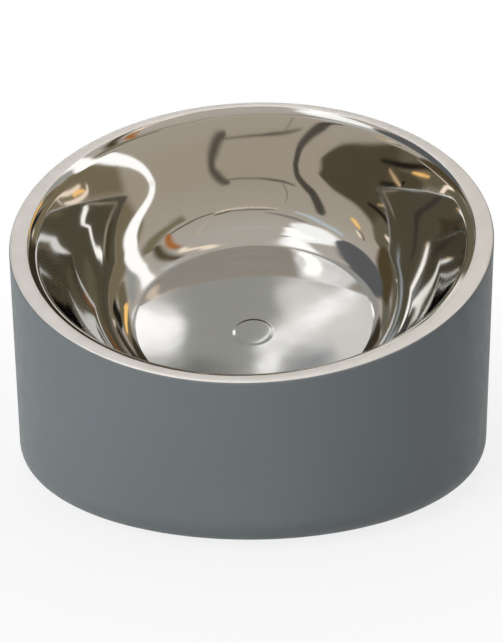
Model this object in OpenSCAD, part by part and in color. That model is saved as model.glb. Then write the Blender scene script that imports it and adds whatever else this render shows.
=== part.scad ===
// Slanted double-wall cat bowl.
// A mirror-polished steel bowl with a tilted floor is welded by its turned-out
// rim into a painted, cup-shaped steel shell that stands on a soft ring.
// The origin is the centre of the resting face, +Z is up, and the low front of
// the rim faces -Y. All sizes are in millimetres.

/* [Shell] */
// Outer diameter of the shell
outer_d = 140; // [120:1:160]
// Height of the rim at the low front
front_h = 47; // [46:0.5:60]
// Height of the rim at the high back
back_h = 96; // [80:0.5:110]
// Outer radius of the corner between wall and bottom
corner_r = 8; // [5:0.5:12]
// Thickness of the shell's sheet
shell_t = 0.8; // [0.6:0.1:1.2]

/* [Bowl] */
// Thickness of the bowl's sheet
bowl_t = 0.8; // [0.6:0.1:1]
// Width of the rim's flat top at the sides, from the shell's outside to the start of the lip
rim_w = 3.75; // [3.5:0.05:5]
// Radius of the lip that turns down from the rim into the bowl
lip_r = 5; // [3:0.1:6]
// Angle by which the bowl's axis leans back from upright, as the rim does or less
bowl_lean = 19; // [0:1:19]
// How many times longer the bowl is from front to back than across
bowl_long = 1.037; // [1:0.001:1.04]
// Depth of the bowl, square to the rim
bowl_depth = 34.1; // [28:0.1:36]
// Radius of the flat floor, at its crease with the wall
floor_r = 36; // [32:0.5:40]
// Radius of the heel, the bend from the wall to the floor
heel_r = 17.8; // [14:0.1:19]
// Angle at which the heel meets the floor in a crease
crease_angle = 7; // [3:1:12]
// How much more the wall leans out at the heel than a straight one would
heel_turn = 9.5; // [6:0.5:12]
// How much more the wall leans out at the lip than a straight one would
flare_turn = 2.5; // [1:0.5:4]

/* [Boss] */
// Radius of the flat top of the boss that is pressed up in the floor
boss_r = 5; // [3:0.1:8]
// Height of the boss
boss_h = 0.05; // [0.05:0.01:0.3]
// Radius of the boss's two bends
boss_bend_r = 10; // [8:0.5:20]
// How far the boss sits in front of the floor's middle
boss_front = 6.6; // [0:0.1:10]

/* [Base] */
// How far the soft ring stands out below the shell
ring_proud = 0.8; // [0.6:0.1:2]
// Mean radius of the groove that holds the ring
groove_r = 50; // [30:1:50]
// Width of the groove
groove_w = 14; // [10:0.5:16]
// Depth of the groove, pressed up into the bottom
groove_depth = 1.2; // [1:0.1:2]
// Inside radius of the groove's upper corners
groove_corner_r = 0.5; // [0.3:0.1:0.9]
// Gap between the ring and each side of the groove
ring_gap = 0.3; // [0.2:0.1:1]
// Thickness of the adhesive film over the ring
film_t = 0.2; // [0.1:0.05:0.4]
// Edge radius of the ring
ring_edge_r = 0.4; // [0.2:0.1:0.6]
// Number of tread grooves in the ring's resting face
tread_n = 2; // [1:1:3]
// Width of a tread groove
tread_w = 1.4; // [0.8:0.1:2]
// Depth of a tread groove
tread_depth = 0.7; // [0.4:0.1:1]

/* [Vent] */
// Radius of the vent hole in the middle of the bottom
vent_r = 3; // [2:0.1:5]
// Gap between the plug's stem and the vent hole
vent_gap = 0.05; // [0.02:0.01:0.1]
// How far the plug's head reaches past the hole
head_over = 2.5; // [1.5:0.1:4]
// Thickness of the plug's head
head_t = 0.5; // [0.3:0.1:0.5]
// How far the plug's barb reaches past the hole
barb_over = 0.7; // [0.4:0.1:1.2]
// Height of the barb above the bottom
barb_h = 2.4; // [1.5:0.1:4]
// Radius of the barb's flat tip
barb_tip_r = 1.8; // [1:0.1:1.9]

/* [Hidden] */
$fn = 96;

outer_r = outer_d / 2;
rim_mid_h = (front_h + back_h) / 2;
rim_slope = (back_h - front_h) / outer_d;
rim_tilt = atan(rim_slope);

// The bowl's section is drawn about its axis, with z counted square to the rim from its top face
floor_z = -bowl_depth;
lip_at = [outer_r - rim_w, -lip_r];
heel_at = [floor_r - heel_r * sin(crease_angle), floor_z + heel_r * cos(crease_angle)];

// Lean of the straight line that touches the lip and the heel
across = lip_at - heel_at;
wall_lean = atan2(across.x, across.y) - asin((lip_r + heel_r) / norm(across));
heel_lean = wall_lean + heel_turn;
flare_lean = wall_lean + flare_turn;

// The wall is two arcs that meet in its middle, hollow from the heel and swelling to the lip
heel_top = heel_at + heel_r * outward(heel_lean);
wall_top = lip_at - lip_r * outward(flare_lean);
wall_run = wall_top - heel_top;
both_ways = upward(heel_lean) + upward(flare_lean);
unlike = 1 - cos(heel_turn - flare_turn);
ahead = wall_run * both_ways;
arm = (sqrt(ahead * ahead + 2 * unlike * (wall_run * wall_run)) - ahead) / (2 * unlike);
wall_mid = (heel_top + wall_top + arm * (upward(heel_lean) - upward(flare_lean))) / 2;
hollow_r = arc_r(wall_mid - heel_top, -outward(heel_lean));
hollow_at = heel_top - hollow_r * outward(heel_lean);
flare_r = arc_r(wall_mid - wall_top, outward(flare_lean));
flare_at = wall_top + flare_r * outward(flare_lean);

// The rim's flange ends inside the weld bead
flange_r = outer_r - shell_t;
weld_edge_r = min(shell_t, bowl_t);

// The boss's side is two equal bends, each turning through this angle
bend_angle = acos(1 - boss_h / (2 * boss_bend_r));
boss_top_z = floor_z + boss_h;
boss_out_r = boss_r + 2 * boss_bend_r * sin(bend_angle);

// Levels of the base, counted up from the resting face
bottom_z = ring_proud;
groove_top_z = bottom_z + groove_depth;
groove_in_r = groove_r - groove_w / 2;
groove_out_r = groove_r + groove_w / 2;
ring_in_r = groove_in_r + ring_gap;
ring_out_r = groove_out_r - ring_gap;
ring_top_z = groove_top_z - film_t;

// Reach of the plain blocks that are cut away, past the model
past = 1;

// Directions in a section, square to a wall with this lean and up along it
function outward(lean) = [cos(lean), -sin(lean)];
function upward(lean) = [sin(lean), cos(lean)];

// Radius of the arc that crosses a run, when its centre lies that way from the start
function arc_r(run, way) = run * run / (2 * run * way);

// A rectangle from corner to corner
module box2(low, high) {
  translate(low) square(high - low);
}

// A rectangle from corner to corner, with round corners
module round_box2(low, high, r) {
  box2(low + [r, 0], high - [r, 0]);
  box2(low + [0, r], high - [0, r]);
  for (x = [low.x + r, high.x - r], y = [low.y + r, high.y - r])
    translate([x, y]) circle(r);
}

// Moves what is drawn under a level rim to the slanted rim, along an axis that leans back
module slant(lean, long) {
  stretch = 1 / cos(rim_tilt - lean);
  multmatrix([
    [1, 0, 0, 0],
    [0, long, -sin(lean) * stretch, 0],
    [0, long * rim_slope, cos(lean) * stretch, rim_mid_h],
    [0, 0, 0, 1],
  ]) children();
}

// Turns a section about the axis, or in front of it, in four equal parts, and slants it
module slant_ring(lean, long, front) {
  for (i = [0:3])
    slant(lean, long) translate([0, -front, 0]) rotate(i * 90) rotate_extrude(angle = 90) children();
}

// What an arc adds to a section beyond the straight line between its two ends
module swell(from, to, centre, r) {
  middle = (from + to) / 2 - centre;
  out = middle * r / norm(middle);
  intersection() {
    translate(centre) circle(r);
    polygon([from, from + out, to + out, to]);
  }
}

// All the space above the bowl's sheet but for the boss, out by d from the food side
module above_sheet(d) {
  crease = [heel_at.x + sqrt(pow(heel_r + d, 2) - pow(heel_at.y - floor_z + d, 2)), floor_z - d];
  low = heel_top + d * outward(heel_lean);
  middle = hollow_at + (wall_mid - hollow_at) * (hollow_r + d) / hollow_r;
  high = wall_top + d * outward(flare_lean);
  difference() {
    polygon([
      [0, floor_z - d],
      crease,
      low,
      middle,
      high,
      [lip_at.x, -d],
      [outer_r + past, -d],
      [outer_r + past, past],
      [0, past],
    ]);
    swell(middle, high, flare_at, flare_r - d);
    translate(lip_at) circle(lip_r - d);
  }
  swell(crease, low, heel_at, heel_r + d);
  swell(low, middle, hollow_at, hollow_r + d);
}

// All the space below the boss's sheet, down by d from the food side
module below_boss(d) {
  top_bend = [boss_r, boss_top_z - boss_bend_r];
  low_bend = [boss_out_r, floor_z + boss_bend_r];
  top = [boss_r, boss_top_z - d];
  middle = top_bend + (boss_bend_r - d) * [sin(bend_angle), cos(bend_angle)];
  low = [boss_out_r, floor_z - d];
  deep_z = floor_z - bowl_t - past;
  difference() {
    polygon([[0, deep_z], [0, top.y], top, middle, low, [boss_out_r, deep_z]]);
    swell(middle, low, low_bend, boss_bend_r + d);
  }
  swell(top, middle, top_bend, boss_bend_r - d);
}

// The bowl's sheet in section, with a plain floor
module sheet_section() {
  intersection() {
    difference() {
      above_sheet(bowl_t);
      above_sheet(0);
    }
    box2([0, floor_z - bowl_t - past], [outer_r, 0]);
  }
}

// The boss's sheet in section, out to where the floor is plain
module boss_section() {
  difference() {
    below_boss(0);
    below_boss(bowl_t);
  }
}

module inner_bowl() {
  color("silver") {
    difference() {
      intersection() {
        slant_ring(bowl_lean, bowl_long, 0) sheet_section();
        cylinder(r = flange_r, h = back_h + past);
      }
      slant_ring(bowl_lean, bowl_long, boss_front)
        box2([0, floor_z - bowl_t - past], [boss_out_r, floor_z + past]);
    }
    slant_ring(bowl_lean, bowl_long, boss_front) boss_section();
  }
}

// The weld bead fills the corner outside the rim and is ground round
module rim_weld() {
  color("lightgray") slant_ring(0, 1, 0) intersection() {
    round_box2([flange_r - past, -bowl_t - past], [outer_r, 0], weld_edge_r);
    box2([flange_r, -bowl_t], [outer_r, 0]);
  }
}

// Space inside the shell when d is its sheet, or the shell's own outline when d is 0
module cup(d) {
  box2([0, bottom_z + d], [outer_r - corner_r, back_h + past]);
  box2([0, bottom_z + corner_r], [outer_r - d, back_h + past]);
  translate([outer_r - corner_r, bottom_z + corner_r]) intersection() {
    circle(corner_r - d);
    box2([0, -corner_r], [corner_r, corner_r]);
  }
}

module shell_section() {
  difference() {
    union() {
      difference() {
        cup(0);
        cup(shell_t);
      }
      intersection() {
        round_box2(
          [groove_in_r - shell_t, bottom_z - corner_r],
          [groove_out_r + shell_t, groove_top_z + shell_t],
          groove_corner_r + shell_t
        );
        cup(0);
      }
    }
    round_box2([groove_in_r, bottom_z - corner_r], [groove_out_r, groove_top_z], groove_corner_r);
    box2([0, 0], [vent_r, groove_top_z]);
  }
}

module outer_shell() {
  color("slategray") intersection() {
    rotate_extrude() shell_section();
    slant(0, 1) translate([0, 0, -2 * back_h - bowl_t]) cylinder(r = outer_r + past, h = 2 * back_h);
  }
}

module non_slip_ring() {
  pitch = (ring_out_r - ring_in_r) / (tread_n + 1);
  color("dimgray") rotate_extrude() difference() {
    round_box2([ring_in_r, 0], [ring_out_r, ring_top_z], ring_edge_r);
    for (i = [1:tread_n])
      box2([ring_in_r + i * pitch - tread_w / 2, -past], [ring_in_r + i * pitch + tread_w / 2, tread_depth]);
  }
}

module ring_adhesive() {
  color("white") rotate_extrude()
    box2([ring_in_r + groove_corner_r, ring_top_z], [ring_out_r - groove_corner_r, groove_top_z]);
}

module vent_plug() {
  top_z = bottom_z + shell_t;
  color("dimgray") rotate_extrude() {
    box2([0, bottom_z - head_t], [vent_r + head_over, bottom_z]);
    box2([0, bottom_z - head_t], [vent_r - vent_gap, top_z]);
    polygon([[0, top_z], [vent_r + barb_over, top_z], [barb_tip_r, top_z + barb_h], [0, top_z + barb_h]]);
  }
}

inner_bowl();
rim_weld();
outer_shell();
non_slip_ring();
ring_adhesive();
vent_plug();
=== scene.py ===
import math

import bpy
from mathutils import Matrix, Vector


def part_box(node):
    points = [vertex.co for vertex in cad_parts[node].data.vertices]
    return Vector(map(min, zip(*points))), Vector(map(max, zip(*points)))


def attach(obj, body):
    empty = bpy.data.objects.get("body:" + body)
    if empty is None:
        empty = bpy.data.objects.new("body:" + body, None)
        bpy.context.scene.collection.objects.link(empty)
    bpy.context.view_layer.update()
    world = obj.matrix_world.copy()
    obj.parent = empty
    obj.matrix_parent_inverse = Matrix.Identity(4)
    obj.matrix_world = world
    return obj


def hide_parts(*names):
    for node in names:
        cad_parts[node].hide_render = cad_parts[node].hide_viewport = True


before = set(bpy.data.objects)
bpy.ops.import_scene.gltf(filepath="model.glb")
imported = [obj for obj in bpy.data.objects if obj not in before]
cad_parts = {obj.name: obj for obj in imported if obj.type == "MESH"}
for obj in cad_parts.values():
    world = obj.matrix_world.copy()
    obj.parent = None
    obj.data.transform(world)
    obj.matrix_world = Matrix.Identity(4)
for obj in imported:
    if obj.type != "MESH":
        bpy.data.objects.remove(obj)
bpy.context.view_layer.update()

MM = 0.001

# Sizes in metres, as in the part
shell_low, shell_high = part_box("outer_shell")
OUTER_R = (shell_high.x - shell_low.x) / 2
FRONT_H = 47 * MM
BACK_H = 96 * MM
SHELL_T = 0.8 * MM
BOWL_T = 0.8 * MM
RIM_W = 3.75 * MM
LIP_R = 5 * MM
BOWL_LEAN = math.radians(19)
BOWL_LONG = 1.037
BOWL_DEPTH = 34.1 * MM
FLOOR_R = 36 * MM
HEEL_R = 17.8 * MM
CREASE_ANGLE = math.radians(7)
HEEL_TURN = math.radians(9.5)
FLARE_TURN = math.radians(2.5)
GROUND_TURN = math.radians(17)
BOSS_R = 5 * MM
BOSS_H = 0.05 * MM
BOSS_BEND_R = 10 * MM
BOSS_FRONT = 6.6 * MM

RIM_MID_H = (FRONT_H + BACK_H) / 2
RIM_SLOPE = (BACK_H - FRONT_H) / (2 * OUTER_R)
RIM_TILT = math.atan(RIM_SLOPE)
FLANGE_R = OUTER_R - SHELL_T
WELD_EDGE_R = min(SHELL_T, BOWL_T)

# How finely the turned pieces are cut: sides, degrees to a step of an arc, spans of a straight run
SIDES = 360
BOSS_STEP = 3
HEEL_STEP = 1.5
HOLLOW_STEP = 0.5
FLARE_STEP = 0.3
LIP_STEP = 3
BEAD_STEP = 4.5
LEAST_STEPS = 3
BOSS_SPANS = 3
FLOOR_SPANS = 6
FLANGE_SPANS = 4

# Least angle of an edge that shows as sharp, and the radius under which a point lies on the axis
SHARP_TURN = math.radians(6)
AXIS_R = 1e-9

# Where each finish stands in a piece's list of materials
BOWL_POLISHED, BOWL_SATIN, BOWL_MILL = range(3)
WELD_SATIN, WELD_PAINT, WELD_MILL = range(3)


def slant(lean):
    """Moves what is drawn under a level rim to the slanted rim, along an axis that leans back."""
    stretch = 1 / math.cos(RIM_TILT - lean)
    return Matrix((
        (1, 0, 0, 0),
        (0, 1, -math.sin(lean) * stretch, 0),
        (0, RIM_SLOPE, math.cos(lean) * stretch, RIM_MID_H),
        (0, 0, 0, 1),
    ))


def arc(centre, radius, start, end, step):
    """Points of a section on an arc, without its first."""
    n = max(LEAST_STEPS, math.ceil(math.degrees(abs(end - start)) / step))
    turns = [start + (end - start) * i / n for i in range(1, n + 1)]
    return [(centre[0] + radius * math.cos(a), centre[1] + radius * math.sin(a)) for a in turns]


def line(a, b, n):
    """Points of a section on a straight line, without its first."""
    return [tuple(x + (y - x) * i / n for x, y in zip(a, b)) for i in range(1, n + 1)]


def outward(lean):
    return Vector((math.cos(lean), -math.sin(lean)))


def upward(lean):
    return Vector((math.sin(lean), math.cos(lean)))


def arc_radius(run, way):
    """The radius of an arc with the chord run that leaves at right angles to way."""
    return run.dot(run) / (2 * run.dot(way))


def sheet_side(d):
    """One side of the bowl's sheet in section, d out from the food side.

    Gives the boss, the wall from its crease to the lip, and the part of the lip that is ground.
    """
    quarter = math.pi / 2
    bend = math.acos(1 - BOSS_H / (2 * BOSS_BEND_R))
    boss_out = BOSS_R + 2 * BOSS_BEND_R * math.sin(bend)
    boss_z = -BOWL_DEPTH + BOSS_H
    boss = [(0, boss_z - d)] + line((0, boss_z - d), (BOSS_R, boss_z - d), BOSS_SPANS)
    boss += arc((BOSS_R, boss_z - BOSS_BEND_R), BOSS_BEND_R - d, quarter, quarter - bend, BOSS_STEP)
    foot = (boss_out, -BOWL_DEPTH + BOSS_BEND_R)
    boss += arc(foot, BOSS_BEND_R + d, -quarter - bend, -quarter, BOSS_STEP)

    lip = Vector((OUTER_R - RIM_W, -LIP_R))
    heel_x = FLOOR_R - HEEL_R * math.sin(CREASE_ANGLE)
    heel = Vector((heel_x, -BOWL_DEPTH + HEEL_R * math.cos(CREASE_ANGLE)))
    across = lip - heel
    lean = math.atan2(across.x, across.y) - math.asin((LIP_R + HEEL_R) / across.length)
    heel_lean, flare_lean = lean + HEEL_TURN, lean + FLARE_TURN
    heel_top = heel + HEEL_R * outward(heel_lean)
    wall_top = lip - LIP_R * outward(flare_lean)
    run = wall_top - heel_top
    ahead = run.dot(upward(heel_lean) + upward(flare_lean))
    unlike = 1 - math.cos(HEEL_TURN - FLARE_TURN)
    arm = (math.sqrt(ahead * ahead + 2 * unlike * run.dot(run)) - ahead) / (2 * unlike)
    middle = (heel_top + wall_top + arm * (upward(heel_lean) - upward(flare_lean))) / 2
    hollow_r = arc_radius(middle - heel_top, -outward(heel_lean))
    hollow = heel_top - hollow_r * outward(heel_lean)
    flare_r = arc_radius(middle - wall_top, outward(flare_lean))
    flare = wall_top + flare_r * outward(flare_lean)
    middle_lean = math.atan2(hollow.y - middle.y, middle.x - hollow.x)

    crease_turn = -math.asin((heel.y + BOWL_DEPTH + d) / (HEEL_R + d))
    ground_start = quarter + GROUND_TURN
    wall = [(heel.x + (HEEL_R + d) * math.cos(crease_turn), -BOWL_DEPTH - d)]
    wall += arc(heel, HEEL_R + d, crease_turn, -heel_lean, HEEL_STEP)
    wall += arc(hollow, hollow_r + d, -heel_lean, -middle_lean, HOLLOW_STEP)
    wall += arc(flare, flare_r - d, math.pi - middle_lean, math.pi - flare_lean, FLARE_STEP)
    wall += arc(lip, LIP_R - d, math.pi - flare_lean, ground_start, LIP_STEP)
    return boss, wall, arc(lip, LIP_R - d, ground_start, quarter, LIP_STEP)


def bowl_loop():
    """The bowl's section as a closed loop, with the finish of each of its spans.

    A point of the loop is (radius, height, way forward, length to width).
    """
    sides, marks = [], []
    for d, wall_mark, rim_mark in ((0, BOWL_POLISHED, BOWL_SATIN), (BOWL_T, BOWL_MILL, BOWL_MILL)):
        boss, wall, ground = sheet_side(d)
        side = [(r, z, BOSS_FRONT * BOWL_LONG, BOWL_LONG) for r, z in boss]
        side += line(side[-1], (*wall[0], 0, BOWL_LONG), FLOOR_SPANS)
        side += [(r, z, 0, BOWL_LONG) for r, z in wall[1:]]
        kinds = [wall_mark] * (len(side) - 1)
        side += [(r, z, 0, BOWL_LONG) for r, z in ground]
        # The flange ends on an upright face
        side += line(side[-1], (FLANGE_R, -d, -d * slant(BOWL_LEAN)[1][2], 1), FLANGE_SPANS)
        kinds += [rim_mark] * (len(side) - len(kinds))
        sides.append(side)
        marks.append(kinds)
    return sides[0] + sides[1][::-1], marks[0] + marks[1][::-1]


def weld_loop():
    """The weld bead's section as such a loop: the paint comes up over part of its round edge."""
    edge = (OUTER_R - WELD_EDGE_R, -WELD_EDGE_R)
    bead = [(FLANGE_R, -BOWL_T), (FLANGE_R, 0)]
    satin = arc(edge, WELD_EDGE_R, math.pi / 2, math.pi / 4, BEAD_STEP)
    painted = arc(edge, WELD_EDGE_R, math.pi / 4, 0, BEAD_STEP)
    marks = [WELD_MILL] + [WELD_SATIN] * len(satin) + [WELD_PAINT] * len(painted) + [WELD_MILL]
    return [(r, z, 0, 1) for r, z in bead + satin + painted], marks


def turn_at(loop, j):
    """The angle by which a loop turns at one of its points."""
    before, at, after = (Vector(loop[k % len(loop)][:2]) for k in (j - 1, j, j + 1))
    return (at - before).angle(after - at, 0)


def turned(name, place, loop, marks):
    """A closed section turned about the axis and put in place, with sharp edges where it turns at once."""
    verts, faces, kinds, columns, rings = [], [], [], [], []
    for j, (r, z, forward, long) in enumerate(loop):
        if r < AXIS_R:
            columns.append([len(verts)] * SIDES)
            verts.append(place @ Vector((0, -forward, z)))
            rings.append(j)
            continue
        columns.append(range(len(verts), len(verts) + SIDES))
        rings += [j] * SIDES
        for i in range(SIDES):
            a = 2 * math.pi * i / SIDES
            verts.append(place @ Vector((r * math.cos(a), long * r * math.sin(a) - forward, z)))
    for j, mark in enumerate(marks):
        low, high = columns[j], columns[(j + 1) % len(loop)]
        if low[0] == low[1] and high[0] == high[1]:
            continue
        for i in range(SIDES):
            k = (i + 1) % SIDES
            faces.append(list(dict.fromkeys((low[i], low[k], high[k], high[i]))))
            kinds.append(mark)
    mesh = bpy.data.meshes.new(name)
    mesh.from_pydata(verts, [], faces)
    mesh.polygons.foreach_set("material_index", kinds)
    mesh.polygons.foreach_set("use_smooth", [True] * len(faces))
    sharp = [turn_at(loop, j) > SHARP_TURN for j in range(len(loop))]
    sharp_edges = [rings[a] == rings[b] and sharp[rings[a]] for a, b in mesh.edge_keys]
    mesh.edges.foreach_set("use_edge_sharp", sharp_edges)
    mesh.update()
    piece = bpy.data.objects.new(name, mesh)
    bpy.context.collection.objects.link(piece)
    return piece


bowl = turned("bowl_sheet", slant(BOWL_LEAN), *bowl_loop())
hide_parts("inner_bowl")
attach(bowl, "root")

weld = turned("weld_bead", slant(0), *weld_loop())
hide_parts("rim_weld")
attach(weld, "root")

# The values of noise over which a finish changes, and the detail of a bump's noise
NOISE_SPAN = 0.3, 0.7
BUMP_DETAIL = 2

# A ray whose glossy depth is over this has met the steel before, and sees the painted shade and painted
# highlights of the steel's second mirrorings
SELF_MIRRORED = 1.5


class Shader:
    """A material's node tree, with short ways to add what the finishes here are made of."""

    def __init__(self, name):
        self.material = bpy.data.materials.new(name)
        self.material.use_nodes = True
        self.tree = self.material.node_tree
        self.bsdf = self.tree.nodes["Principled BSDF"]
        self.output = self.tree.nodes["Material Output"]
        self.place = self.add("ShaderNodeTexCoord").outputs["Object"]

    def add(self, kind, **values):
        node = self.tree.nodes.new(kind)
        for key, value in values.items():
            node.inputs[key.replace("_", " ")].default_value = value
        return node

    def link(self, a, b):
        self.tree.links.new(a, b)

    def set(self, **values):
        for key, value in values.items():
            self.bsdf.inputs[key.replace("_", " ")].default_value = value

    def feed(self, **sockets):
        for key, socket in sockets.items():
            self.link(socket, self.bsdf.inputs[key.replace("_", " ")])

    def noise(self, scale, detail):
        node = self.add("ShaderNodeTexNoise", Scale=scale, Detail=detail)
        self.link(self.place, node.inputs["Vector"])
        return node.outputs["Fac"]

    def ramp(self, value, low, high, span=NOISE_SPAN):
        """From one colour to another over a span of values."""
        node = self.add("ShaderNodeValToRGB")
        for element, at, colour in zip(node.color_ramp.elements, span, (low, high)):
            element.position = at
            element.color = (*colour, 1)
        self.link(value, node.inputs["Fac"])
        return node.outputs["Color"]

    def spread(self, value, low, high, span=NOISE_SPAN):
        """From one number to another over a span of values."""
        node = self.add("ShaderNodeMapRange", From_Min=span[0], From_Max=span[1], To_Min=low, To_Max=high)
        self.link(value, node.inputs["Value"])
        return node.outputs["Result"]

    def bump(self, height, strength, distance):
        node = self.add("ShaderNodeBump", Strength=strength, Distance=distance)
        self.link(height, node.inputs["Height"])
        return node.outputs["Normal"]

    def math(self, operation, a, b):
        node = self.add("ShaderNodeMath")
        node.operation = operation
        for value, socket in zip((a, b), node.inputs):
            if isinstance(value, (int, float)):
                socket.default_value = value
            else:
                self.link(value, socket)
        return node.outputs["Value"]

    def glow(self, colour, strength=1):
        return self.add("ShaderNodeEmission", Color=(*colour, 1), Strength=strength).outputs["Emission"]

    def clear(self):
        return self.add("ShaderNodeBsdfTransparent").outputs["BSDF"]

    def second_bounce(self):
        """1 where the steel mirrors itself, and 0 where it mirrors the room straight away; it masks the
        room's painted shade and the deep cards' painted highlights.
        """
        depth = self.add("ShaderNodeLightPath").outputs["Glossy Depth"]
        return self.math("GREATER_THAN", depth, SELF_MIRRORED)

    def mix_output(self, share, first, second):
        node = self.add("ShaderNodeMixShader")
        self.link(share, node.inputs["Fac"])
        self.link(first, node.inputs[1])
        self.link(second, node.inputs[2])
        self.link(node.outputs["Shader"], self.output.inputs["Surface"])
        return node.outputs["Shader"]


def finish(name, colours, tones, rough, wear, bump=None, **fixed):
    """A finish that varies a little between two colours and two roughnesses.

    The noise of its tones and wear is (scale, detail), and a bump is (scale, strength, distance).
    """
    s = Shader(name)
    s.set(**fixed)
    s.feed(
        Base_Color=s.ramp(s.noise(*tones), *colours),
        Roughness=s.spread(s.noise(*wear), *rough),
    )
    if bump:
        scale, strength, distance = bump
        s.feed(Normal=s.bump(s.noise(scale, BUMP_DETAIL), strength, distance))
    return s.material


def dress(mesh, *finishes):
    # Clearing a list also forgets which face has which finish, so an empty one is left alone
    if mesh.materials:
        mesh.materials.clear()
    for material in finishes:
        mesh.materials.append(material)


POLISHED = finish(
    "polished_steel", colours=((0.605, 0.60, 0.59), (0.635, 0.63, 0.62)), tones=(30, 3),
    rough=(0.04, 0.08), wear=(70, 4), bump=(45, 0.05, 0.0005), Metallic=1)
SATIN = finish(
    "satin_steel", colours=((0.775, 0.75, 0.73), (0.835, 0.81, 0.79)), tones=(120, 4),
    rough=(0.36, 0.46), wear=(400, 3), bump=(2500, 0.1, 0.0001), Metallic=0.6)
MILL = finish(
    "mill_steel", colours=((0.50, 0.49, 0.47), (0.58, 0.57, 0.55)), tones=(40, 3),
    rough=(0.35, 0.5), wear=(200, 3), Metallic=1)
PAINT = finish(
    "slate_paint", colours=((0.147, 0.168, 0.177), (0.157, 0.180, 0.190)), tones=(25, 3),
    rough=(0.46, 0.56), wear=(200, 3), bump=(1400, 0.12, 0.0003), Specular_IOR_Level=0.28)
SILICONE = finish(
    "silicone", colours=((0.028, 0.030, 0.032), (0.038, 0.040, 0.043)), tones=(40, 3),
    rough=(0.62, 0.78), wear=(300, 3), bump=(1800, 0.1, 0.0002))
ADHESIVE = finish(
    "adhesive", colours=((0.70, 0.69, 0.64), (0.76, 0.75, 0.71)), tones=(60, 3),
    rough=(0.4, 0.6), wear=(150, 3))

dress(bowl.data, POLISHED, SATIN, MILL)
dress(weld.data, SATIN, PAINT, MILL)
dress(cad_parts["outer_shell"].data, PAINT)
dress(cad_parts["non_slip_ring"].data, SILICONE)
dress(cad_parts["vent_plug"].data, SILICONE)
dress(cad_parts["ring_adhesive"].data, ADHESIVE)

# Camera, fitted to the photo
IMAGE_H = 642
FOCAL_PX = 1501
SENSOR_W = 36
VIEW_AZ, VIEW_DOWN, VIEW_ROLL = math.radians(3.54), math.radians(17.16), math.radians(-0.53)
ORIGIN_SEEN = Vector((0.0043, -0.5682, 6.543)) * OUTER_R

right = Vector((math.cos(VIEW_AZ), math.sin(VIEW_AZ), 0))
ahead = Vector((-math.sin(VIEW_AZ), math.cos(VIEW_AZ), 0))
up = math.sin(VIEW_DOWN) * ahead + Vector((0, 0, math.cos(VIEW_DOWN)))
back = -math.cos(VIEW_DOWN) * ahead + Vector((0, 0, math.sin(VIEW_DOWN)))
spot = -ORIGIN_SEEN.x * right - ORIGIN_SEEN.y * up + ORIGIN_SEEN.z * back
rolled_right = math.cos(VIEW_ROLL) * right + math.sin(VIEW_ROLL) * up
rolled_up = -math.sin(VIEW_ROLL) * right + math.cos(VIEW_ROLL) * up
lens = bpy.data.cameras.new("camera")
lens.sensor_width = SENSOR_W
lens.lens = FOCAL_PX / IMAGE_H * SENSOR_W
camera = bpy.data.objects.new("camera", lens)
bpy.context.collection.objects.link(camera)
camera.matrix_world = Matrix((*zip(rolled_right, rolled_up, back, spot), (0, 0, 0, 1)))
bpy.context.scene.camera = camera

# The floor: half its side, how far it lies under the bowl, and how it turns plainly white
FLOOR_HALF = 4
FLOOR_DROP = 0.1 * MM
FLOOR_GREY = (0.62, 0.62, 0.62, 1)
FLOOR_NEAR_WHITE = 0.84
FLOOR_FADE = OUTER_R, 3.2 * OUTER_R
PURE_WHITE = (1, 1, 1)

# The studio that the steel mirrors, a dome with cards in it, in metres and in shares
HUB = Vector((0, 0, RIM_MID_H))
ROOM_R = 28
ROOM_SIDES = 48
ROOM_RINGS = 12
ROOM_GLOW = 1.3
ROOM_SPAN = 0.2, 0.95
DEEP_SPAN = 0.76, 0.90
CARD_GAP = 0.2
CARD_STEPS = 12
END_SOFT = 0.16
ribbons = []


def toward(az, el):
    """The direction with az counted from the back round by the right."""
    a, e = math.radians(az), math.radians(el)
    return Vector((math.sin(a) * math.cos(e), math.cos(a) * math.cos(e), math.sin(e)))


def staged(name, verts, faces, material):
    mesh = bpy.data.meshes.new(name)
    mesh.from_pydata(verts, [], faces)
    mesh.materials.append(material)
    o = bpy.data.objects.new(name, mesh)
    bpy.context.collection.objects.link(o)
    return o


def seen_plainly(tree):
    """1 for rays to the camera, in mirrors and through glass, and 0 for the light that falls on things."""
    ray = tree.nodes.new("ShaderNodeLightPath")
    total = ray.outputs["Is Camera Ray"]
    for kind in ("Is Glossy Ray", "Is Transmission Ray"):
        both = tree.nodes.new("ShaderNodeMath")
        both.operation = "MAXIMUM"
        tree.links.new(total, both.inputs[0])
        tree.links.new(ray.outputs[kind], both.inputs[1])
        total = both.outputs[0]
    return total


def floor_white():
    """White, and ever more plainly white away from the bowl, which leaves only its near shadow.

    It is clear from below.
    """
    s = Shader("floor_white")
    s.set(Base_Color=FLOOR_GREY, Roughness=0.9, Specular_IOR_Level=0.1)
    gap = s.add("ShaderNodeVectorMath")
    gap.operation = "LENGTH"
    s.link(s.place, gap.inputs[0])
    plain = s.spread(gap.outputs["Value"], FLOOR_NEAR_WHITE, 1, FLOOR_FADE)
    share = s.math("MULTIPLY", plain, seen_plainly(s.tree))
    top = s.mix_output(share, s.bsdf.outputs["BSDF"], s.glow(PURE_WHITE))
    s.mix_output(s.add("ShaderNodeNewGeometry").outputs["Backfacing"], top, s.clear())
    return s.material


def mirrored_only(card):
    card.visible_camera = card.visible_diffuse = card.visible_shadow = False
    card.visible_transmission = card.visible_volume_scatter = False


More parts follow.
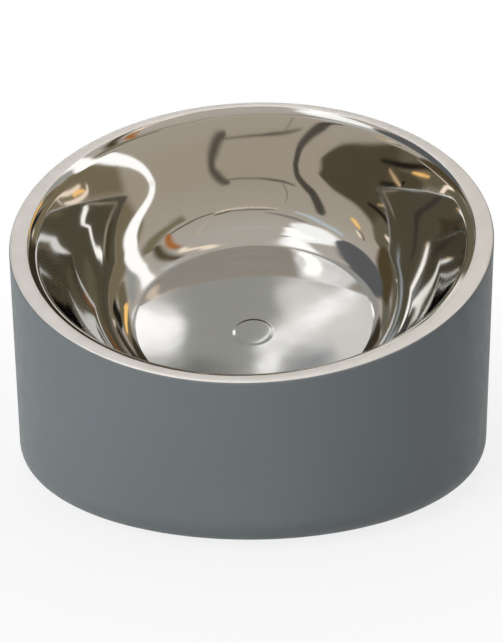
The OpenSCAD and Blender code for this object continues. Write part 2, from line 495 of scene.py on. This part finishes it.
def card_finish(name, colour, soft, deep):
    """Glows in one colour and fades out towards the card's edges.

    A deep card shows only where the steel mirrors itself, as a painted highlight in that second mirroring.
    """
    s = Shader(name)
    s.tree.nodes.remove(s.bsdf)
    parts = s.add("ShaderNodeSeparateXYZ")
    s.link(s.add("ShaderNodeTexCoord").outputs["UV"], parts.inputs[0])
    # A deep card is a painted highlight, shown only in the steel's second mirrorings
    share = s.second_bounce() if deep else 1
    for along, width in (("X", soft), ("Y", END_SOFT)):
        fade = s.add("ShaderNodeMapRange", From_Min=0, From_Max=width / 2, To_Min=0, To_Max=1)
        fade.interpolation_type = "SMOOTHSTEP"
        s.link(s.math("PINGPONG", parts.outputs[along], 0.5), fade.inputs["Value"])
        share = s.math("MULTIPLY", fade.outputs["Result"], share)
    s.mix_output(share, s.clear(), s.glow(colour, ROOM_GLOW))
    return s.material


def spline(path):
    """A smooth run through directions (az, el, half width): each step's direction, heading and half width."""
    knots = [toward(az, el) for az, el, _ in path]
    ends = [2 * knots[0] - knots[1], *knots, 2 * knots[-1] - knots[-2]]
    for i in range(len(path) - 1):
        a, b, c, d = ends[i:i + 4]
        for j in range(CARD_STEPS + (i == len(path) - 2)):
            t = j / CARD_STEPS
            bend, twist = 2 * a - 5 * b + 4 * c - d, 3 * b - a - 3 * c + d
            at = (2 * b + (c - a) * t + bend * t * t + twist * t ** 3) / 2
            heading = (c - a) + 2 * bend * t + 3 * twist * t * t
            half = path[i][2] + (path[i + 1][2] - path[i][2]) * t
            yield at.normalized(), heading, math.radians(half)


def ribbon(name, colour, path, soft=0.5, deep=False):
    """A strip of card in the studio that shows only in the steel, each nearer than the one before it."""
    reach = ROOM_R - CARD_GAP * (len(ribbons) + 1)
    verts = []
    for at, heading, half in spline(path):
        across = at.cross(heading).normalized()
        verts += [HUB + reach * (math.cos(half) * at + side * math.sin(half) * across) for side in (-1, 1)]
    steps = len(verts) // 2 - 1
    faces = [(2 * i, 2 * i + 1, 2 * i + 3, 2 * i + 2) for i in range(steps)]
    card = staged(name, verts, faces, card_finish(name, colour, soft, deep))
    uv = card.data.uv_layers.new(name="UVMap").data
    for corner in card.data.loops:
        v = corner.vertex_index
        uv[corner.index].uv = (v % 2, v // 2 / steps)
    mirrored_only(card)
    ribbons.append(card)


def room(low, high, deep):
    """The plain walls and ceiling of the studio, which show only in the steel; where the steel mirrors
    itself, the lower room shows the darker deep colour, a painted shade for the bowl shading itself.
    """
    s = Shader("room")
    s.tree.nodes.remove(s.bsdf)
    parts = s.add("ShaderNodeSeparateXYZ")
    s.link(s.place, parts.inputs[0])
    height = s.math("DIVIDE", parts.outputs["Z"], ROOM_R)
    glow = s.add("ShaderNodeEmission", Strength=ROOM_GLOW)
    s.link(s.ramp(height, low, high, ROOM_SPAN), glow.inputs["Color"])
    # Painted shade: where the steel mirrors itself, the room below DEEP_SPAN glows in the darker deep colour
    share = s.math("MULTIPLY", s.second_bounce(), s.spread(height, 1, 0, DEEP_SPAN))
    s.mix_output(share, glow.outputs["Emission"], s.glow(deep, ROOM_GLOW))
    n, rings = ROOM_SIDES, ROOM_RINGS
    verts = [ROOM_R * toward(360 * i / n, 90 * j / rings) for j in range(rings) for i in range(n)]
    verts.append(ROOM_R * toward(0, 90))
    faces = [
        (j * n + i, j * n + (i + 1) % n, (j + 1) * n + (i + 1) % n, (j + 1) * n + i)
        for j in range(rings - 1) for i in range(n)
    ]
    faces += [((rings - 1) * n + i, (rings - 1) * n + (i + 1) % n, rings * n) for i in range(n)]
    mirrored_only(staged("room", verts, faces, s.material))


corner_ways = ((-1, -1), (1, -1), (1, 1), (-1, 1))
corners = [(FLOOR_HALF * x, FLOOR_HALF * y, -FLOOR_DROP) for x, y in corner_ways]
staged("floor", corners, [(0, 1, 2, 3)], floor_white())

BRIGHT = (2, 1.98, 1.9)
WHITE = (1.25, 1.24, 1.22)
PALE = (0.75, 0.73, 0.70)
LINEN = (0.80, 0.76, 0.68)
CREAM = (1.05, 0.88, 0.70)
AMBER = (1.15, 0.68, 0.22)
OLIVE = (0.20, 0.163, 0.10)
DARK_OLIVE = (0.083, 0.062, 0.030)
BROWN = (0.041, 0.030, 0.018)
BLACK = (0.010, 0.008, 0.006)
SMOKE = (0.105, 0.090, 0.072)

# deep is a painted shade: the darker room that the steel's second mirrorings show
room(low=(0.40, 0.345, 0.27), high=(0.475, 0.437, 0.385), deep=(0.135, 0.118, 0.076))

# Cards on the right
ribbon("right_far", BROWN, [(-14, 25, 19), (3, 26, 21), (18, 25, 21), (30, 22, 18)], soft=0.2)
ribbon("right_wall", OLIVE, [
    (26, 24, 20), (45, 27, 21), (62, 28, 19), (80, 22, 13), (100, 14, 9)], soft=0.35)
ribbon("right_tan", (0.17, 0.14, 0.085), [
    (0, 48, 4), (14, 50.5, 4.5), (30, 51, 4.5), (44, 48.5, 4.5), (56, 43, 4)])
ribbon("right_haze", (0.335, 0.345, 0.325), [
    (16, 58, 2), (38, 57, 4), (55, 54, 4.5), (64, 48, 4), (67, 41, 2.5)], soft=0.9)
ribbon("right_olive", (0.20, 0.175, 0.11), [
    (84, 52, 5), (93, 45, 9), (103, 39, 9), (116, 34, 6), (130, 30, 4)], soft=0.8)
ribbon("right_lamp", AMBER, [(13, 48.5, 1.4), (19, 51.5, 2.7), (25, 53, 2.7), (31, 52, 1.2)], soft=0.7)
ribbon("right_shelf", BLACK, [
    (19, 46, 2), (27, 45.5, 3.4), (34, 43, 3.4), (42, 39.5, 3), (50, 36, 1.8)])
ribbon("right_curtain", (0.78, 0.70, 0.585), [
    (26, 41, 1.6), (31, 34, 2.5), (35, 27, 2.6), (39, 18, 2.2), (41, 8, 2)])
ribbon("right_pleat", (0.55, 0.48, 0.39), [(46, 37, 1.3), (51, 29, 1.7), (54, 22, 1.5), (56, 14, 1)])
ribbon("right_beam", DARK_OLIVE, [
    (20, 71.5, 1.5), (42, 72, 2.6), (60, 70, 3.2), (74, 66, 3.8), (84, 61, 4.2), (91, 55.5, 4.2),
    (97, 49, 3)], soft=0.9)
ribbon("right_wood", (0.42, 0.15, 0.032), [
    (82, 71.5, 1.5), (90, 68, 3), (97, 62.5, 3.4), (103, 56, 3.6), (108, 49, 3.4), (112, 42, 2)], soft=0.9)
ribbon("right_cream", CREAM, [
    (5, 72, 1), (14, 75.5, 1.8), (28, 78, 2), (42, 77.5, 2), (56, 75.6, 2.2), (70, 74.2, 2),
    (84, 73.2, 1)], soft=0.7)
ribbon("right_mist", (0.55, 0.55, 0.53), [(8, 66, 1.2), (18, 68, 2.2), (30, 68, 1.5)], soft=0.9)
ribbon("right_strip", WHITE, [
    (8, 61.8, 1.2), (18, 63.2, 2.2), (32, 63.8, 2.5), (45, 62.8, 2.5), (56, 60.3, 3), (64, 57, 3.8),
    (70, 52, 4.6), (74.5, 46.5, 5.4), (78, 40, 6.2), (81, 33, 6.6), (84.5, 27, 6), (90, 22.8, 4),
    (98, 19, 2.8), (105, 15.8, 2.5), (110, 12, 2.3), (112, 7, 2.3), (113, -6, 2.3)], soft=0.35)
ribbon("right_pane", PALE, [(3, 55.5, 1.6), (7, 56.5, 2.2), (13, 55.5, 1.4)], soft=0.6)
ribbon("right_sill", CREAM, [(44, 20.3, 0.6), (54, 18.5, 0.9), (63, 17, 0.9), (73, 17.3, 0.6)])
ribbon("right_ledge", CREAM, [(56, 15.2, 0.5), (65, 14.3, 0.8), (73, 14.8, 0.7), (76, 17, 0.4)])
ribbon("right_amber", AMBER, [(64, 15.7, 0.5), (69, 16, 0.9), (73, 15.4, 0.4)])

# Cards in front
ribbon("front_pale", (0.53, 0.45, 0.355), [
    (118, 70, 1), (128, 61, 1.6), (137, 53, 1.6), (145, 45, 1)], soft=0.9)
ribbon("front_top", (0.50, 0.465, 0.42), [
    (148, 70, 3), (165, 72, 5), (185, 72.5, 5.5), (205, 71, 4)], soft=0.9)
ribbon("front_edge", SMOKE, [
    (110, 46, 1), (119, 43, 1.8), (127, 40.5, 2), (136, 37, 1.8), (146, 34.5, 1.5),
    (156, 33.5, 0.8)], soft=0.9)
ribbon("front_mark", (0.090, 0.055, 0.028), [
    (148, 39, 1.2), (154, 37.3, 2), (160, 35.6, 1.6), (166, 34.8, 0.7)], soft=0.8)
ribbon("front_lens", (0.157, 0.131, 0.119), [
    (162, 35.4, 1), (172, 35.6, 1.9), (180, 35.6, 2.1), (188, 35.5, 1.7), (195, 35.2, 0.7)], soft=0.8)
ribbon("front_line", CREAM, [
    (148, 35, 0.5), (155, 33.2, 0.9), (163, 32, 0.7), (175, 31.8, 0.5), (188, 32.2, 0.5),
    (198, 33, 0.4)], soft=0.8)
ribbon("front_post", SMOKE, [
    (150, -6, 3.5), (151, 5, 4), (154, 10, 5), (158, 14, 4.5), (163, 15.5, 1.5)], soft=0.9)
ribbon("front_bar", SMOKE, [
    (157, 13.3, 0.4), (170, 13.2, 0.7), (182, 13.4, 0.8), (190, 13.9, 1.2), (198, 14.8, 1.1),
    (207, 16.8, 0.6)], soft=0.8)
ribbon("front_wire", SMOKE, [
    (196, 15, 0.3), (199, 19, 0.4), (200.5, 23.5, 0.4), (199.5, 27.5, 0.2)], soft=0.8)

# Cards on the left
ribbon("left_low", (0.085, 0.068, 0.040), [
    (219, 3, 4), (232, 8, 7.5), (250, 10.5, 8.5), (270, 14, 10), (290, 18, 12)], soft=0.3)
ribbon("left_wall", (0.137, 0.119, 0.078), [
    (262, 15, 6), (285, 22, 12), (308, 26, 16), (330, 27, 18), (352, 26, 17)], soft=0.3)
ribbon("left_tan", (0.145, 0.138, 0.105), [(300, 50, 4), (314, 49, 5), (326, 46.5, 5.5), (338, 44, 5)])
ribbon("left_shade", (0.232, 0.20, 0.185), [
    (185, 41, 1), (194, 43, 2.2), (203, 45.5, 3.2), (212, 48, 3.2), (222, 50.5, 2)], soft=0.9)
ribbon("left_sky", (0.53, 0.59, 0.62), [
    (206, 34, 2), (214, 36.5, 3.4), (221, 39, 4.2), (230, 43, 4.6), (242, 46, 4.2), (255, 48, 2)], soft=0.9)
ribbon("left_post", (0.075, 0.068, 0.055), [
    (203, -6, 1.8), (204.5, 4, 2.2), (206, 10, 2.4), (211, 15, 2.6), (217, 19, 3), (221, 23, 3.4),
    (225, 27, 3.6), (230, 30, 2)])
ribbon("left_glow", (1.1, 1.1, 1.08), [
    (212, 53, 3), (222, 58, 8), (233, 61, 12), (246, 65, 13), (258, 70, 9), (272, 76, 5), (290, 79, 4),
    (310, 78, 3.6), (326, 75.5, 3.4), (337, 71.5, 3), (347, 65.5, 2)])
ribbon("left_core", WHITE, [
    (236, 67, 4), (252, 72, 4.5), (266, 77, 3), (284, 79.5, 2.2), (304, 78.5, 2.2), (322, 76, 2.4),
    (335, 72, 2.4), (345, 66.5, 1.6)], soft=0.6)
ribbon("left_spot", WHITE, [(214, 66, 2.5), (228, 71, 4.5), (243, 76, 4.5), (262, 80, 3)], soft=0.6)
ribbon("left_dark", DARK_OLIVE, [
    (279, 23, 3), (283, 31, 7), (290, 38, 9), (300, 43, 9), (312, 47, 7), (326, 50, 4)])
ribbon("left_cloth", (0.114, 0.117, 0.121), [
    (256, 57, 2), (264, 57, 7), (276, 57.5, 10), (290, 58, 11.5), (305, 58.5, 11.5), (320, 59, 9.5),
    (332, 61, 4.5), (342, 63.5, 2)], soft=0.3)
ribbon("left_stripe", CREAM, [(299, 10, 1.6), (300, 19, 2.2), (301, 26, 2.4), (305, 33, 1.4)])
ribbon("left_curl", CREAM, [(274, 20.5, 0.6), (286, 20.5, 1.1), (294, 23, 1.5), (300, 28, 1)])
ribbon("left_drape", LINEN, [(343, 16, 3), (345, 27, 4), (348, 36, 4), (352, 46, 2.5)], soft=0.6)
ribbon("left_fold", LINEN, [(353, 16, 2.5), (353, 28, 3), (353, 42, 2)], soft=0.6)
ribbon("left_amber", AMBER, [(247, 24.4, 0.6), (252, 25.3, 1.4), (257, 26.6, 0.7)], soft=0.7)
ribbon("left_candle", CREAM, [(254.5, 30, 0.7), (258, 33, 1.6), (261.5, 36.5, 0.8)], soft=0.7)
ribbon("left_bracket", (0.16, 0.105, 0.055), [(256, 28, 0.7), (261, 31, 1), (265, 37, 1)], soft=0.7)
ribbon("left_beam", BLACK, [(254, 13.5, 0.8), (266, 14.5, 1.4), (276, 16, 1.4), (290, 18.5, 0.8)], soft=0.7)
ribbon("left_foot", BLACK, [(260, 7, 0.9), (268, 8.5, 1.2), (276, 11, 0.8)], soft=0.7)
ribbon("left_beige", (0.66, 0.46, 0.25), [(262, 12.3, 0.4), (268, 10.5, 0.9), (274, 9.3, 0.7)], soft=0.7)
ribbon("left_spark", AMBER, [(276, 14.2, 0.4), (282, 14.8, 0.8), (288, 15.2, 0.4)], soft=0.7)

# Cards high at the back, which the flat floor mirrors
ribbon("back_dark", BROWN, [(336, 46.5, 5), (347, 47.5, 6), (358, 47.5, 6), (369, 46.5, 5)], soft=0.3)
ribbon("back_grey", (0.326, 0.326, 0.300), [
    (330, 59, 7), (345, 59, 8.5), (357, 59, 8.5), (368, 58.5, 7)], soft=0.3)
ribbon("back_pane", WHITE, [
    (343.5, 55, 1.1), (346, 55.2, 1.2), (348, 55.6, 1), (349.1, 56, 0.5)], soft=0.15)
ribbon("back_light", PALE, [(356.4, 53.8, 0.8), (358.5, 55.4, 1.5), (361, 56, 2), (364, 56, 2)], soft=0.4)
ribbon("back_streak", WHITE, [
    (362, 54.1, 0.4), (359, 55.3, 0.5), (357.3, 56, 0.55), (356, 56.5, 0.5), (354.8, 57.1, 0.35),
    (353.9, 57.7, 0.2)], soft=0.6)
ribbon("back_glint", WHITE, [(354.3, 58.3, 0.25), (355, 57.7, 0.3), (355.8, 57.1, 0.3)], soft=0.7)
# Two small cards, dark and grey, whose reflections in the floor make the marks beside the boss
ribbon("back_dark_fleck", (0.11, 0.115, 0.11), [
    (347.6, 57, 0.25), (350.2, 57.3, 0.5), (352.4, 57.7, 0.35)], soft=0.8)
ribbon("back_grey_fleck", (0.25, 0.27, 0.29), [
    (356.3, 57.9, 0.3), (357.6, 57.4, 0.6), (359, 57, 0.5), (360, 56.8, 0.25)], soft=0.8)

# Cards that show only where the steel mirrors itself: painted highlights in its second mirrorings
ribbon("deep_spot", BRIGHT, [
    (222, 66, 2), (230, 69, 3), (235, 73, 3.4), (242, 76, 2.4), (251, 77, 1)], deep=True)
ribbon("deep_right", BRIGHT, [
    (148, 33, 1.6), (148.5, 29, 2.2), (143.5, 20.5, 2.2), (140, 13, 1.6)], soft=0.4, deep=True)
ribbon("deep_left", BRIGHT, [
    (252, 23, 2.5), (256, 30, 5), (258, 38, 5.5), (266, 44, 4.5), (279, 46, 3)], soft=0.3, deep=True)


def lamp(name, az, el, distance, size, watts):
    data = bpy.data.lights.new(name, "AREA")
    data.shape = "DISK"
    data.size = size
    data.energy = watts
    o = bpy.data.objects.new(name, data)
    bpy.context.collection.objects.link(o)
    o.location = HUB + distance * toward(az, el)
    o.rotation_mode = "QUATERNION"
    o.rotation_quaternion = toward(az, el).to_track_quat("Z", "Y")
    o.visible_glossy = False


lamp("key", az=217, el=36, distance=1.8, size=1.2, watts=26)
lamp("top", az=0, el=88, distance=1.6, size=1.6, watts=8)
lamp("back", az=0, el=35, distance=1.8, size=1.2, watts=10)

# The world shows as white and lights softly
SOFT_LIGHT = 0.15
world = bpy.data.worlds.new("world")
bpy.context.scene.world = world
world.use_nodes = True
nodes, links = world.node_tree.nodes, world.node_tree.links
soft_light = nodes["Background"]
soft_light.inputs["Color"].default_value = (*PURE_WHITE, 1)
soft_light.inputs["Strength"].default_value = SOFT_LIGHT
white = nodes.new("ShaderNodeBackground")
white.inputs["Color"].default_value = (*PURE_WHITE, 1)
shown = nodes.new("ShaderNodeMixShader")
links.new(seen_plainly(world.node_tree), shown.inputs["Fac"])
links.new(soft_light.outputs["Background"], shown.inputs[1])
links.new(white.outputs["Background"], shown.inputs[2])
links.new(shown.outputs["Shader"], nodes["World Output"].inputs["Surface"])

bpy.context.scene.view_settings.view_transform = "Standard"
